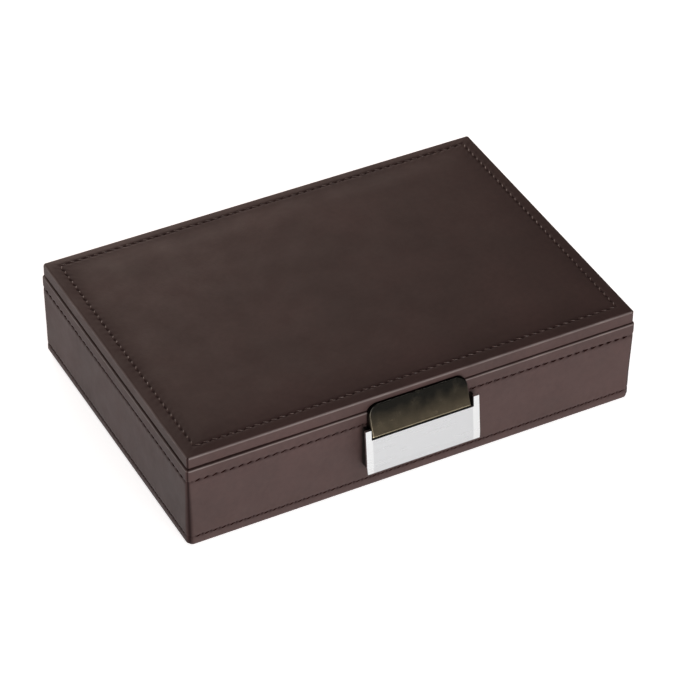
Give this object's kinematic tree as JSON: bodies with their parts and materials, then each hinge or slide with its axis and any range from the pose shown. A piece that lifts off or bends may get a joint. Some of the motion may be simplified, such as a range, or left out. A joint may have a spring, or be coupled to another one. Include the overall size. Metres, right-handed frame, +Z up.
{
  "type": "cufflink box",
  "caption": "Flat leather-covered box with a padded hinged lid, a metal clasp at the front and a grid of suede-lined compartments.",
  "frame": {"origin": "centre of the tray's underside, on the surface that the box stands on", "axes": "+X along the long front side, to the right as seen from the front; -Y towards the clasp; +Z up through the lid"},
  "size_m": [0.18, 0.1341, 0.0422],
  "materials": {
    "leather": "fine-grained bonded leather, dark brown, soft gloss, stitched",
    "board": "bare fibreboard",
    "suede": "brushed suede cloth, dark brown",
    "felt": "pressed felt, near black",
    "foam": "soft sheet foam",
    "card": "grey card",
    "satin_steel": "fine satin",
    "black_abs": "moulded, fine matt",
    "dark_chrome": "mirror polish",
    "nickel": "nickel plate",
    "screw_steel": "plated"
  },
  "bodies": {
    "tray": {"base_board": "board", "clasp_block": "black_abs", "clasp_keeper": "satin_steel", "column_divider_1": "suede", "column_divider_2": "suede", "column_divider_3": "suede", "column_divider_4": "suede", "floor_pad": "suede", "front_leather": "leather", "front_lining": "suede", "front_wall_board": "board", "keeper_push_nuts": "screw_steel", "left_hinge_pin": "nickel", "left_hinge_tray_leaf": "nickel", "left_leather": "leather", "left_lining": "suede", "left_wall_board": "board", "rear_leather": "leather", "rear_lining": "suede", "rear_wall_board": "board", "right_hinge_pin": "nickel", "right_hinge_tray_leaf": "nickel", "right_leather": "leather", "right_lining": "suede", "right_wall_board": "board", "row_divider_1": "suede", "row_divider_2": "suede", "row_divider_3": "suede", "tray_hinge_screws": "screw_steel", "underside_pad": "felt"},
    "lid": {"lid_leather": "leather", "lid_board": "board", "lid_foam": "foam", "lid_lining_card": "card", "lid_lining_pad": "suede", "clasp_hood": "dark_chrome", "hood_screws": "screw_steel", "left_hinge_lid_leaf": "nickel", "right_hinge_lid_leaf": "nickel", "lid_hinge_screws": "screw_steel"}
  },
  "joints": [
    {"name": "lid_hinge", "type": "hinge", "parent": "tray", "child": "lid", "pos_m": [0, 0.0638, 0.0354], "axis": [-1, 0, 0], "range_deg": [0, 100]}
  ]
}
